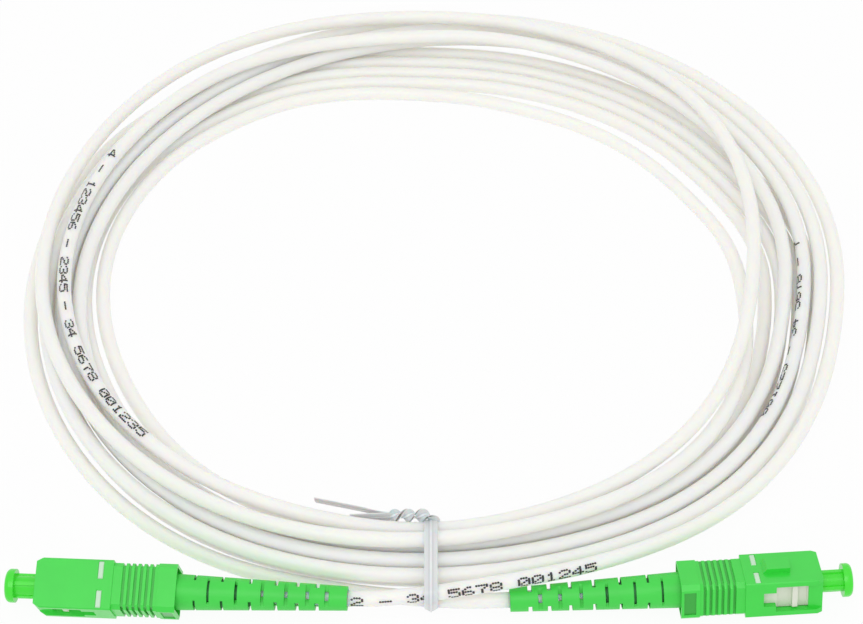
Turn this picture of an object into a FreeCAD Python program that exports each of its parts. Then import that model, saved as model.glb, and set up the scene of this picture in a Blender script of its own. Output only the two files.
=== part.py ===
import FreeCAD, Part
import math
import os

V = FreeCAD.Vector

# Sizes of one plug in millimetres. Along the plug, 0 is the rear of its grip and + is its front.
GRIP_LENGTH = 25.0
GRIP_WIDTH = 9.0
GRIP_HEIGHT = 7.4
GRIP_STEP = 0.3
GRIP_STEP_BROAD = 0.15
STEP_BACK = 13.7
REAR_CHAMFER = 0.8
FRONT_CHAMFER = 0.2
LEAD_IN_LENGTH = 1.2
LEAD_IN_DEPTH = 0.7
SKIRT_IN = 0.15
SKIRT_LENGTH = 3.3
SKIRT_DEPTH = 3.0
SKIRT_WALL = 0.6
PANEL_START = 0.5
PANEL_LENGTH = 2.1
PANEL_HEIGHT = 4.8
PANEL_DEPTH = 0.2
GROOVE_START = 4.15
GROOVE_PITCH = 1.05
GROOVE_WIDTH = 0.5
GROOVE_COUNT = 6
GROOVE_DEPTH = 0.55
GROOVE_DEPTH_BROAD = 0.3
WALL = 0.8
SIDE_WALL = 1.1
KEY_WIDTH = 3.3
KEY_HEIGHT = 0.95
KEY_LENGTH = 4.9
KEY_RAMP = 0.8
KEY_BACK = 5.5
WINDOW_BACK = 2.5
WINDOW_LENGTH = 5.8
WINDOW_HEIGHT = 5.3
SLOT_LENGTH = 2.2
SLOT_HEIGHT = 2.9
CHANNEL_DEPTH = 0.75
MARK_BACK = 11.0
MARK_LENGTH = 1.0
MARK_DEPTH = 0.2
MARK_WIDTH = 3.2
MARK_SIDE = 2.6

FRAME_REAR = 4.6
FRAME_FRONT_BACK = 0.6
RIDGE_BACK = 4.4
RIDGE_LENGTH = 1.0
RIDGE_HEIGHT = 0.45
WINDOW_RECESS = 0.45
SLEEVE_POCKET = 5.0
SHOULDER = 0.8

FERRULE_D = 2.5
FERRULE_REAR = 15.0
FERRULE_FRONT = 28.2
FERRULE_ANGLE = 8.0
FLANGE_D = 4.4
FLANGE_REAR = 14.0
FLANGE_LENGTH = 4.0
SPRING_WIRE = 0.4
SPRING_D = 3.4
SPRING_TURNS = 5
GUIDE_D = 1.9
GUIDE_BORE = 1.1
GUIDE_REAR = 6.0

STOP_BORE = 2.2
STOP_FLANGE_D = 5.4
STOP_FLANGE_REAR = 3.4
STOP_FRONT = 9.0
TAIL_D = 3.6
TAIL_REAR = -9.0
YARN_D = 4.0
SLEEVE_D = 4.8
SLEEVE_REAR = -9.4
SLEEVE_WALL = 0.5
SLEEVE_NECK_D = 3.9
SLEEVE_NECK_REAR = -13.0

BOOT_REAR = -30.0
BOOT_BIG_D = 6.4
BOOT_SMALL_D = 4.3
BOOT_SLOT_FRONT = 0.35
BOOT_SLOT_REAR = 0.8
BOOT_SLOT_FLOOR = 0.58
BOOT_SLOT_BITE = 0.1
SLOTS_A = (-3.1, -7.95, -12.9, -17.45, -21.2, -24.7)
SLOTS_B = (-5.55, -10.45, -15.1, -19.3, -23.05, -26.45)

CAP_STEM_D = 3.7
CAP_STEM_REAR = 20.6
CAP_FLANGE_D = 6.0
CAP_FLANGE_REAR = 29.05
CAP_FRONT = 30.7
CAP_ROUND = 0.8
CAP_RIB = 0.35
CAP_BORE_FRONT = 29.3

CORD = 2.8
FIBRE_D = 0.9

# Clearances, on the radius or on each side.
SLIDE = 0.05
CAP_FIT = 0.02
LOOSE = 0.15
SOFT = 0.3

# Travels.
GRIP_TRAVEL = 1.6
FERRULE_TRAVEL = 1.0
CAP_TRAVEL = 12.0

# The boot's front end leaves room for the grip to come back over it.
BOOT_FRONT = SKIRT_DEPTH - GRIP_TRAVEL - SOFT

# The plugs as they lie: rear centre of the grip, heading, roll.
LEFT = {"at": (-44.71, -1.96), "yaw": 176.6, "pitch": -1.0, "roll": 156.9, "boot_roll": -3.0}
RIGHT = {"at": (43.85, -0.79), "yaw": 2.7, "pitch": 2.0, "roll": -16.6, "boot_roll": -33.0}

# The coil: one cord of ten turns, wound out and in again in two layers with loose turns on top.
# Its underside stands FLOAT above the plugs' lowest edges, so that the part rests on few places.
COIL_X = 0.8
COIL_Y = 78.9
RING = 80.1
LANE = 3.33
LAYER = 3.3
LIFT = 0.95
TIE_PULL = 0.5
TIE_SPAN = 28.0
TIE_SQUEEZE = 0.3
FLOAT = 0.08
TURNS = 9.965
PIECES_PER_TURN = 16
# Where the cord lies: turn counted from the tie, lanes in from the outer edge, layer.
WINDING = (
    (0.0, -0.3, 2.3), (0.027, -0.3, 2.85), (0.06, -0.1, 2.65), (0.125, 0.125, 2.1),
    (0.25, 0.25, 2.0), (1.0, 1.0, 2.0), (2.0, 2.0, 2.0), (3.0, 3.0, 2.0),
    (3.25, 3.35, 2.0), (3.375, 3.45, 2.35), (3.5, 3.3, 3.0), (3.625, 1.3, 3.0),
    (3.75, 1.75, 3.0), (3.875, 3.2, 3.0), (3.9375, 3.75, 2.7), (4.0, 4.05, 2.0),
    (4.0625, 4.25, 2.6), (4.125, 4.85, 3.2), (4.1875, 5.25, 3.4), (4.25, 5.4, 3.4),
    (4.375, 3.0, 3.3), (4.5, 1.5, 3.1), (4.625, -0.65, 3.0), (4.75, 0.4, 3.0),
    (4.875, 1.95, 3.0), (5.0, 2.7, 3.0), (5.0625, 3.1, 3.1), (5.125, 3.95, 2.7),
    (5.1875, 4.9, 2.2), (5.21875, 5.5, 1.95), (5.25, 5.85, 1.4), (5.3125, 5.6, 1.0),
    (5.375, 5.5, 1.0), (5.4375, 5.4, 1.0), (5.5, 4.8, 1.0), (5.5625, 4.65, 1.0),
    (5.625, 4.575, 1.0), (6.0, 4.2, 1.0), (7.0, 3.2, 1.0), (8.0, 2.2, 1.0),
    (9.0, 1.2, 1.0), (10.0, 0.2, 1.0),
)
# How the lower layer lies, by part of a turn: lanes it drifts inwards, share its lanes spread.
DRIFT = (
    (0.0, 0.0, 0.0), (0.04, 0.0, 0.0), (0.167, 0.1, 0.0), (0.25, 0.6, 0.0), (0.333, 2.2, 0.0),
    (0.417, 2.5, 0.0), (0.5, 2.1, 0.0), (0.5417, 1.1, 0.0), (0.583, -0.1, 0.0), (0.625, -0.7, 0.0),
    (0.667, -1.15, 0.0), (0.71, -1.05, 0.0), (0.75, -0.86, 0.05), (0.833, -0.45, 0.17),
    (0.917, -0.2, 0.1), (0.96, 0.0, 0.0), (1.0, 0.0, 0.0),
)
# Bulges of the ring's edge: angle in degrees, width in degrees, height.
BULGES = ((313.0, 20.0, 1.9), (227.0, 22.0, 0.3), (350.0, 14.0, -1.2))

# The tie.
TIE_WIDTH = 2.4
TIE_THICK = 0.6
TIE_X = -0.1
TIE_FLOOR = 0.05
TWIST_D = 2.0
TWIST_AIM = V(-9.6, 1.0, -0.8)
LONG_TAIL_AIM = V(-12.6, 3.2, -1.0)
SHORT_TAIL_AIM = V(-6.0, 0.6, -0.6)

os.makedirs("parts", exist_ok=True)


def cyl(x0, x1, d):
    return Part.makeCylinder(d / 2, x1 - x0, V(x0, 0, 0), V(1, 0, 0))


def tube(x0, x1, d, bore):
    return cyl(x0, x1, d).cut(cyl(x0 - 1, x1 + 1, bore))


def cone(x0, x1, d0, d1):
    return Part.makeCone(d0 / 2, d1 / 2, x1 - x0, V(x0, 0, 0), V(1, 0, 0))


def box(x0, x1, width, height, y=0.0, z=0.0):
    return Part.makeBox(x1 - x0, width, height, V(x0, y - width / 2, z - height / 2))


def block(x0, x1, width, height, chamfer):
    """A bar along the plug whose four long edges are cut at 45 degrees."""
    w = width / 2
    h = height / 2
    c = chamfer
    ring = [V(x0, w - c, h), V(x0, w, h - c), V(x0, w, c - h), V(x0, w - c, -h)]
    ring += [V(x0, c - w, -h), V(x0, -w, c - h), V(x0, -w, h - c), V(x0, c - w, h)]
    ring.append(ring[0])
    return Part.Face(Part.makePolygon(ring)).extrude(V(x1 - x0, 0, 0))


def ring_groove(x, width, height, deep, shallow):
    """What one groove takes off a bar: deep on its sides, shallow on its broad faces."""
    out = box(x - GROOVE_WIDTH / 2, x + GROOVE_WIDTH / 2, width + 2, height + 2)
    return out.cut(box(x - GROOVE_WIDTH, x + GROOVE_WIDTH, width - 2 * deep, height - 2 * shallow))


def wedge(length, depth, height, y):
    """A prism that cuts one front edge of the grip slanting, at y and -y."""
    side = 1 if y > 0 else -1
    x = GRIP_LENGTH
    ring = [V(x - length, y, -height), V(x + 1, y + side, -height), V(x + 1, y - side * depth, -height)]
    ring.append(V(x, y - side * depth, -height))
    ring.append(ring[0])
    return Part.Face(Part.makePolygon(ring)).extrude(V(0, 0, 2 * height))


def make_grip():
    """The coloured sleeve that fingers pull: skirt, grooves, step, key, windows, marks."""
    step = GRIP_LENGTH - STEP_BACK
    slim_w = GRIP_WIDTH - 2 * GRIP_STEP
    slim_h = GRIP_HEIGHT - 2 * GRIP_STEP_BROAD
    out = block(SKIRT_LENGTH, step, slim_w, slim_h, REAR_CHAMFER)
    for i in range(GROOVE_COUNT):
        x = GROOVE_START + i * GROOVE_PITCH
        out = out.cut(ring_groove(x, slim_w, slim_h, GROOVE_DEPTH, GROOVE_DEPTH_BROAD))
    front = block(step, GRIP_LENGTH, GRIP_WIDTH, GRIP_HEIGHT, FRONT_CHAMFER)
    for y in (-GRIP_WIDTH / 2, GRIP_WIDTH / 2):
        front = front.cut(wedge(LEAD_IN_LENGTH, LEAD_IN_DEPTH, GRIP_HEIGHT, y))
    out = out.fuse(front)
    skirt = block(0, SKIRT_LENGTH, GRIP_WIDTH - 2 * SKIRT_IN, GRIP_HEIGHT, REAR_CHAMFER)
    for side in (-1, 1):
        y = side * (GRIP_WIDTH / 2 - SKIRT_IN)
        skirt = skirt.cut(box(PANEL_START, PANEL_START + PANEL_LENGTH, 2 * PANEL_DEPTH, PANEL_HEIGHT, y))
    out = out.fuse(skirt)
    x1 = GRIP_LENGTH - KEY_BACK
    x0 = x1 - KEY_LENGTH
    z = GRIP_HEIGHT / 2
    low = z - 0.2
    high = z + KEY_HEIGHT
    ring = [V(x0, 0, low), V(x0, 0, z), V(x0 + KEY_RAMP, 0, high), V(x1, 0, high), V(x1, 0, low)]
    ring.append(ring[0])
    key = Part.Face(Part.makePolygon(ring)).extrude(V(0, KEY_WIDTH, 0))
    key.translate(V(0, -KEY_WIDTH / 2, 0))
    out = out.fuse(key)
    cavity_w = GRIP_WIDTH - 2 * SIDE_WALL
    cavity_h = GRIP_HEIGHT - 2 * WALL
    out = out.cut(block(SKIRT_DEPTH - 1, GRIP_LENGTH + 1, cavity_w, cavity_h, 0.4))
    skirt_w = GRIP_WIDTH - 2 * SKIRT_IN - 2 * SKIRT_WALL
    out = out.cut(block(-1, SKIRT_DEPTH, skirt_w, BOOT_BIG_D + 0.3, 0.4))
    x1 = GRIP_LENGTH - WINDOW_BACK
    x0 = x1 - WINDOW_LENGTH
    out = out.cut(box(x0, x1, GRIP_WIDTH + 2, WINDOW_HEIGHT))
    out = out.cut(box(x0 - SLOT_LENGTH, x0 + 0.5, GRIP_WIDTH + 2, SLOT_HEIGHT))
    for side in (-1, 1):
        y = side * GRIP_WIDTH / 2
        out = out.cut(box(x1 - 0.5, GRIP_LENGTH + 1, 2 * CHANNEL_DEPTH, WINDOW_HEIGHT, y))
    mark = GRIP_LENGTH - MARK_BACK
    for side in (-1, 1):
        for y in (-MARK_SIDE, MARK_SIDE):
            z = side * (GRIP_HEIGHT / 2)
            out = out.cut(box(mark - MARK_LENGTH, mark, MARK_WIDTH, 2 * MARK_DEPTH, y, z))
    return out.removeSplitter()


def make_frame():
    """The pale inner body that holds the ferrule and is gripped by the adapter."""
    front = GRIP_LENGTH - FRAME_FRONT_BACK
    w = GRIP_WIDTH - 2 * SIDE_WALL - 2 * SLIDE
    h = GRIP_HEIGHT - 2 * WALL - 2 * SLIDE
    out = block(FRAME_REAR, front, w, h, 0.45)
    x1 = GRIP_LENGTH - WINDOW_BACK - 0.2
    x0 = x1 - WINDOW_LENGTH + 0.5
    for y in (-w / 2, w / 2):
        out = out.cut(box(x0, x1, 2 * WINDOW_RECESS, GRIP_HEIGHT, y))
    ridge = GRIP_LENGTH - RIDGE_BACK
    out = out.fuse(box(ridge - RIDGE_LENGTH, ridge, w + 2 * RIDGE_HEIGHT, WINDOW_HEIGHT - 0.6))
    bore_front = FLANGE_REAR + FLANGE_LENGTH
    out = out.cut(cyl(FRAME_REAR - 1, bore_front, FLANGE_D + 2 * SLIDE))
    out = out.cut(cyl(bore_front - 1, front + 1, FERRULE_D + 2 * SLIDE))
    out = out.cut(cyl(bore_front + SHOULDER, front + 1, SLEEVE_POCKET))
    return out.removeSplitter()


def make_ferrule():
    """The ceramic rod, with its end ground at an angle."""
    out = cyl(FERRULE_REAR, FERRULE_FRONT, FERRULE_D)
    cutter = box(0, FERRULE_D, 2 * FERRULE_D, 2 * FERRULE_D)
    cutter.rotate(V(0, 0, 0), V(0, 1, 0), -FERRULE_ANGLE)
    cutter.translate(V(FERRULE_FRONT - FERRULE_D / 2 * math.tan(math.radians(FERRULE_ANGLE)), 0, 0))
    return out.cut(cutter)


def make_flange():
    """The metal collar pressed on the ferrule; the guide tube sits in its rear."""
    out = cyl(FLANGE_REAR, FLANGE_REAR + FLANGE_LENGTH, FLANGE_D)
    out = out.cut(cyl(FERRULE_REAR, FLANGE_REAR + FLANGE_LENGTH + 1, FERRULE_D))
    return out.cut(cyl(FLANGE_REAR - 1, FERRULE_REAR, GUIDE_D))


def make_spring():
    """An open coil spring, held between the stop and the collar."""
    free = FLANGE_REAR - STOP_FRONT - SPRING_WIRE - 0.1
    x0 = STOP_FRONT + SPRING_WIRE / 2 + 0.05
    r = (SPRING_D - SPRING_WIRE) / 2
    places = []
    for i in range(4 * SPRING_TURNS + 1):
        a = math.pi * i / 2
        rise = free / (2 * math.pi * SPRING_TURNS)
        at = V(x0 + rise * a, r * math.cos(a), r * math.sin(a))
        places.append((at, V(rise, -r * math.sin(a), r * math.cos(a)).normalize()))
    return sweep(arcs_through(places)[0], SPRING_WIRE)


def make_stop():
    """The turned metal body at the rear: closes the frame and carries the crimp."""
    out = cyl(STOP_FLANGE_REAR, FRAME_REAR, STOP_FLANGE_D)
    out = out.fuse(cyl(FRAME_REAR, STOP_FRONT, FLANGE_D + 2 * SLIDE))
    out = out.fuse(cyl(TAIL_REAR, STOP_FLANGE_REAR, TAIL_D))
    return out.cut(cyl(TAIL_REAR - 1, STOP_FRONT + 1, STOP_BORE)).removeSplitter()


def make_sleeve():
    """The crimp: a wide part over yarn and tail, a narrow neck on the cord."""
    out = tube(SLEEVE_REAR, 0, SLEEVE_D, YARN_D)
    out = out.fuse(tube(SLEEVE_REAR - SLEEVE_WALL, SLEEVE_REAR, SLEEVE_D, CORD))
    return out.fuse(tube(SLEEVE_NECK_REAR, SLEEVE_REAR, SLEEVE_NECK_D, CORD)).removeSplitter()


def make_boot(roll):
    """The tapering strain relief with pairs of slots, each pair turned a quarter from the last."""
    wide = SLEEVE_REAR - SLEEVE_WALL - 0.3
    neck = SLEEVE_NECK_REAR - 0.3
    out = cyl(0, BOOT_FRONT, BOOT_BIG_D).fuse(cone(BOOT_REAR, 0, BOOT_SMALL_D, BOOT_BIG_D))
    out = out.cut(cyl(BOOT_REAR - 1, BOOT_FRONT + 1, CORD + 2 * LOOSE))
    out = out.cut(cyl(neck, BOOT_FRONT + 1, SLEEVE_NECK_D + 2 * LOOSE))
    out = out.cut(cyl(wide, BOOT_FRONT + 1, SLEEVE_D + 2 * LOOSE))
    for places, turn in ((SLOTS_A, 0), (SLOTS_B, 90)):
        for x in places:
            bore = CORD
            if x > neck - BOOT_SLOT_REAR:
                bore = SLEEVE_NECK_D
            if x > wide - BOOT_SLOT_REAR:
                bore = SLEEVE_D
            part_way = x / BOOT_REAR
            outside = BOOT_BIG_D + (BOOT_SMALL_D - BOOT_BIG_D) * part_way
            width = BOOT_SLOT_FRONT + (BOOT_SLOT_REAR - BOOT_SLOT_FRONT) * part_way
            floor = min(BOOT_SLOT_FLOOR * outside / 2, bore / 2 + LOOSE - BOOT_SLOT_BITE)
            for side in (-1, 1):
                y = side * (floor + BOOT_BIG_D / 2)
                cutter = box(x - width / 2, x + width / 2, BOOT_BIG_D, 2 * BOOT_BIG_D, y)
                cutter.rotate(V(0, 0, 0), V(1, 0, 0), turn)
                out = out.cut(cutter)
    out.rotate(V(0, 0, 0), V(1, 0, 0), roll)
    return out


def make_cap():
    """The dust cap: a ribbed stem over the ferrule and a wide, rounded, closed end."""
    out = cyl(CAP_STEM_REAR, CAP_FLANGE_REAR, CAP_STEM_D)
    flange = cyl(CAP_FLANGE_REAR, CAP_FRONT, CAP_FLANGE_D)
    far = [e for e in flange.Edges if abs(e.BoundBox.XMin - CAP_FRONT) < 0.01 and e.Closed]
    out = out.fuse(flange.makeFillet(CAP_ROUND, far))
    for turn in (0, 90):
        rib = box(GRIP_LENGTH + 0.3, CAP_FLANGE_REAR + 0.2, CAP_STEM_D + 2 * CAP_RIB, 0.7)
        rib.rotate(V(0, 0, 0), V(1, 0, 0), turn)
        out = out.fuse(rib)
    out = out.cut(cyl(CAP_STEM_REAR - 1, CAP_BORE_FRONT, FERRULE_D + 2 * CAP_FIT))
    return out.removeSplitter()


def plug_shapes(roll):
    """Every piece of one plug, in the plug's own frame."""
    fibre_end = GUIDE_REAR + 6.4
    shapes = {
        "dust_cap": make_cap(),
        "grip": make_grip(),
        "plug_frame": make_frame(),
        "ferrule": make_ferrule(),
        "ferrule_flange": make_flange(),
        "spring": make_spring(),
        "guide_tube": tube(GUIDE_REAR, FERRULE_REAR, GUIDE_D, GUIDE_BORE),
        "stop_body": make_stop(),
        "yarn": tube(TAIL_REAR, 0, YARN_D, TAIL_D),
        "crimp_sleeve": make_sleeve(),
        "boot": make_boot(roll),
        "cord_end": tube(BOOT_REAR, SLEEVE_REAR, CORD, FIBRE_D),
        "buffered_fibre": cyl(BOOT_REAR, fibre_end, FIBRE_D),
    }
    return shapes


def pose_matrix(pose, z):
    """Roll about the plug, then pitch, then heading, then place."""
    roll = FreeCAD.Rotation(V(1, 0, 0), pose["roll"])
    pitch = FreeCAD.Rotation(V(0, 1, 0), -pose["pitch"])
    yaw = FreeCAD.Rotation(V(0, 0, 1), pose["yaw"])
    turn = yaw.multiply(pitch).multiply(roll)
    return FreeCAD.Placement(V(pose["at"][0], pose["at"][1], z), turn)


def lay_plug(shapes, pose):
    """Put a plug down so that its lowest point is on the ground."""
    probe = shapes["grip"].copy()
    probe.Placement = pose_matrix(pose, 0)
    place = pose_matrix(pose, -probe.BoundBox.ZMin)
    for name in shapes:
        moved = shapes[name].copy()
        moved.Placement = place.multiply(moved.Placement)
        shapes[name] = moved
    return place


def slopes(rows, column):
    """Slopes of a smooth curve through a table's rows that never overshoots them."""
    steps = []
    for k in range(len(rows) - 1):
        steps.append((rows[k + 1][column] - rows[k][column]) / (rows[k + 1][0] - rows[k][0]))
    out = [steps[0]]
    for k in range(1, len(rows) - 1):
        before = rows[k][0] - rows[k - 1][0]
        after = rows[k + 1][0] - rows[k][0]
        d0 = steps[k - 1]
        d1 = steps[k]
        if d0 * d1 <= 0:
            out.append(0.0)
        else:
            out.append(3 * (before + after) / ((2 * after + before) / d0 + (after + 2 * before) / d1))
    out.append(steps[-1])
    return out


def read_table(rows, place, column):
    """A table's column at a place between its rows: a cubic from row to row."""
    bend = slopes(rows, column)
    k = 0
    while k < len(rows) - 2 and place > rows[k + 1][0]:
        k += 1
    a = rows[k]
    b = rows[k + 1]
    h = b[0] - a[0]
    u = (place - a[0]) / h
    uu = u * u
    uuu = uu * u
    ends = a[column] * (2 * uuu - 3 * uu + 1) + b[column] * (3 * uu - 2 * uuu)
    bends = bend[k] * (uuu - 2 * uu + u) + bend[k + 1] * (uuu - uu)
    return ends + h * bends


def coil_point(turn):
    """A point of the cord's centre line, a number of turns from the tie."""
    a = 2 * math.pi * (turn - 0.25)
    lane = read_table(WINDING, turn, 1)
    layer = read_table(WINDING, turn, 2)
    from_tie = abs((math.degrees(a) + 90) % 360)
    from_tie = min(from_tie, 360 - from_tie)
    near = math.exp(-(from_tie / TIE_SPAN) ** 2)
    edge = RING + 1.3 * math.cos(a) - 2.1 * math.sin(a) + 0.8 * math.cos(2 * a) + 1.85 * math.sin(2 * a)
    edge -= TIE_PULL * near
    for at, wide, out in BULGES:
        off = (math.degrees(a) - at + 180) % 360 - 180
        edge += out * math.exp(-(off / wide) ** 2)
    if layer < 2:
        under = 2 - layer
        drift = read_table(DRIFT, turn % 1, 1) + lane * read_table(DRIFT, turn % 1, 2)
        lane += under * (TIE_SQUEEZE * near + drift)
    r = edge - LANE * lane
    z = CORD / 2 + FLOAT + LAYER * (layer - 1) + LIFT * near
    return V(COIL_X + r * math.cos(a), COIL_Y + r * math.sin(a), z)


def coil_heading(turn):
    step = 0.0005
    out = coil_point(min(turn + step, TURNS)) - coil_point(max(turn - step, 0))
    return out.normalize()


def biarc(a, ta, b, tb):
    """Two arcs that meet smoothly and leave and arrive in the given headings, with their radii."""
    v = b - a
    t = ta + tb
    n = v.dot(t)
    m = 2 * (1 - ta.dot(tb))
    if m < 1e-9:
        d = v.dot(v) / (2 * n)
    else:
        d = (-n + math.sqrt(n * n + m * v.dot(v))) / m
    mid = (a + b + (ta - tb) * d) * 0.5
    heading = b - tb * d - a - ta * d
    heading.normalize()
    out = []
    for p, h, q in ((a, ta, mid), (mid, heading, b)):
        chord = q - p
        across = chord - h * chord.dot(h)
        if across.Length < 1e-6 * chord.Length:
            out.append((Part.LineSegment(p, q).toShape(), 1e9))
            continue
        across.normalize()
        r = chord.dot(chord) / (2 * chord.dot(across))
        centre = p + across * r
        bow = (p + q) * 0.5 - centre
        bow.normalize()
        out.append((Part.Arc(p, centre + bow * r, q).toShape(), r))
    return out


def arcs_through(places):
    """A smooth run of arcs through (point, heading) pairs, and its least radius."""
    arcs = []
    for i in range(len(places) - 1):
        arcs += biarc(places[i][0], places[i][1], places[i + 1][0], places[i + 1][1])
    return [arc[0] for arc in arcs], min(arc[1] for arc in arcs)


def sweep(edges, d):
    """A round solid along edges."""
    path = Part.Wire(edges)
    start = path.OrderedEdges[0]
    first = start.FirstParameter
    at = start.valueAt(first)
    heading = start.tangentAt(first)
    ring = Part.Wire(Part.Circle(at, heading, d / 2).toShape())
    return path.makePipeShell([ring], True, False)


def make_coil():
    count = int(math.ceil(TURNS * PIECES_PER_TURN))
    places = []
    for i in range(count + 1):
        turn = min(i / PIECES_PER_TURN, TURNS)
        places.append((coil_point(turn), coil_heading(turn)))
    edges, least = arcs_through(places)
    print("coil arcs", len(edges), "least radius", round(least, 1))
    report_gap(edges)
    return sweep(edges, CORD)


def report_gap(edges):
    """Least gap of the coil to itself, and its length, from points on its arcs."""
    per = 10
    points = []
    for edge in edges:
        first = edge.FirstParameter
        last = edge.LastParameter
        for k in range(per):
            points.append(edge.valueAt(first + (last - first) * k / per))
    skip = int(0.6 * len(points) / TURNS)
    cells = {}
    for i, p in enumerate(points):
        cells.setdefault((int(p.x // 4), int(p.y // 4)), []).append(i)
    least = 1e9
    where = (0, 0)
    for (cx, cy), here in cells.items():
        near = []
        for dx in (-1, 0, 1):
            for dy in (-1, 0, 1):
                near += cells.get((cx + dx, cy + dy), [])
        for i in here:
            for j in near:
                if j - i < skip:
                    continue
                d = points[i].distanceToPoint(points[j])
                if d < least:
                    least = d
                    where = (i, j)
    turns = [round(k * TURNS / len(points), 2) for k in where]
    length = sum(edge.Length for edge in edges)
    print("coil: least gap", round(least - CORD, 3), "at turns", turns, "length", round(length, 1))


def make_route(points, d, name):
    """A tube on straight runs that arcs join."""
    edges = []
    last = points[0]
    radii = []
    for i in range(1, len(points) - 1):
        before = points[i] - points[i - 1]
        after = points[i + 1] - points[i]
        short = min(before.Length, after.Length)
        before.normalize()
        after.normalize()
        half = before.getAngle(after) / 2
        back = 0.45 * short
        start = points[i] - before * back
        end = points[i] + after * back
        bow = back / math.tan(half)
        radii.append(round(bow, 1))
        inward = after - before
        inward.normalize()
        middle = points[i] + inward * (bow / math.cos(half) - bow)
        edges.append(Part.LineSegment(last, start).toShape())
        edges.append(Part.Arc(start, middle, end).toShape())
        last = end
    edges.append(Part.LineSegment(last, points[-1]).toShape())
    length = sum(edge.Length for edge in edges)
    print(name, "bend radii", radii, "length", round(length, 1))
    return sweep(edges, d)


def lead_points(tip, heading, meet, meet_heading, first, last):
    """Leave square to the boot for one run, arrive square to the coil for one run."""
    return [tip, tip + heading * first, meet - meet_heading * last, meet]


def bundle_outline(grow):
    """Round the cord where it passes the tie: the hull of circles, as one closed outline."""
    circles = []
    for x in (TIE_X - TIE_WIDTH / 2, TIE_X, TIE_X + TIE_WIDTH / 2):
        circles.append(route_at(LEFT_ROUTE, x))
        circles.append(route_at(RIGHT_ROUTE, x))
        for i in range(int(TURNS) + 1):
            r = COIL_Y - coil_point(i).y
            circles.append(coil_point(max(i + (x - COIL_X) / (2 * math.pi * r), 0)))
    points = []
    for c in circles:
        for k in range(24):
            a = 2 * math.pi * k / 24
            points.append((c.y + (CORD / 2 + grow) * math.cos(a), c.z + (CORD / 2 + grow) * math.sin(a)))
    points.sort()
    lower = []
    for p in points:
        while len(lower) > 1 and turn_of(lower[-2], lower[-1], p) <= 1e-9:
            lower.pop()
        lower.append(p)
    upper = []
    for p in reversed(points):
        while len(upper) > 1 and turn_of(upper[-2], upper[-1], p) <= 1e-9:
            upper.pop()
        upper.append(p)
    return lower[:-1] + upper[:-1]


def turn_of(a, b, c):
    return (b[0] - a[0]) * (c[1] - a[1]) - (b[1] - a[1]) * (c[0] - a[0])


def route_at(points, x):
    """The point of a route's runs at that x, or its nearer end."""
    ordered = sorted(points, key=lambda p: p.x)
    if x <= ordered[0].x:
        return ordered[0]
    for a, b in zip(ordered, ordered[1:]):
        if x <= b.x:
            return a + (b - a) * ((x - a.x) / (b.x - a.x))
    return ordered[-1]


def bar(start, aim, width, thick):
    """A flat bar from start along aim."""
    out = Part.makeBox(aim.Length, width, thick, V(0, -width / 2, -thick / 2))
    out.Placement = FreeCAD.Placement(start, FreeCAD.Rotation(V(1, 0, 0), aim))
    return out


def make_tie():
    """A flat band round the cord, a twist beside it and two loose tails."""
    x0 = TIE_X - TIE_WIDTH / 2
    inner = [V(x0, p[0], p[1]) for p in bundle_outline(SOFT)]
    outer = [V(x0, p[0], p[1]) for p in bundle_outline(SOFT + TIE_THICK)]
    corner = max(outer, key=lambda p: 0.8 * p.y + 0.6 * p.z)
    inner.append(inner[0])
    outer.append(outer[0])
    band = Part.Face(Part.makePolygon(outer)).extrude(V(TIE_WIDTH, 0, 0))
    band = band.cut(Part.Face(Part.makePolygon(inner)).extrude(V(TIE_WIDTH, 0, 0)))
    start = V(x0 + TIE_WIDTH, corner.y + TWIST_D / 2 - 0.3, corner.z + 0.2)
    knot = Part.makeCylinder(TWIST_D / 2, TWIST_AIM.Length, start, TWIST_AIM)
    far = start + TWIST_AIM * 0.97
    out = band.fuse(knot)
    for aim in (LONG_TAIL_AIM, SHORT_TAIL_AIM):
        out = out.fuse(bar(far, aim, TIE_WIDTH / 2, TIE_THICK))
    return out.removeSplitter()


nodes = {}
left_plug = plug_shapes(LEFT["boot_roll"])
right_plug = plug_shapes(RIGHT["boot_roll"])
left_place = lay_plug(left_plug, LEFT)
right_place = lay_plug(right_plug, RIGHT)
for name in left_plug:
    nodes["left_" + name] = left_plug[name]
    nodes["right_" + name] = right_plug[name]

LEFT_TIP = left_place.multVec(V(BOOT_REAR, 0, 0))
RIGHT_TIP = right_place.multVec(V(BOOT_REAR, 0, 0))
left_out = left_place.Rotation.multVec(V(-1, 0, 0))
right_out = right_place.Rotation.multVec(V(-1, 0, 0))
print("left tip", LEFT_TIP, left_out, "right tip", RIGHT_TIP, right_out)
print("coil start", coil_point(0), coil_heading(0), "end", coil_point(TURNS), coil_heading(TURNS))

nodes["cord_coil"] = make_coil()
LEFT_ROUTE = lead_points(LEFT_TIP, left_out, coil_point(0), coil_heading(0), 4.5, 4.5)
nodes["left_lead"] = make_route(LEFT_ROUTE, CORD, "left_lead")
end = coil_point(TURNS)
RIGHT_ROUTE = lead_points(RIGHT_TIP, right_out, end, coil_heading(TURNS) * -1, 8.0, 8.0)
nodes["right_lead"] = make_route(RIGHT_ROUTE, CORD, "right_lead")
nodes["twist_tie"] = make_tie()

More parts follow.
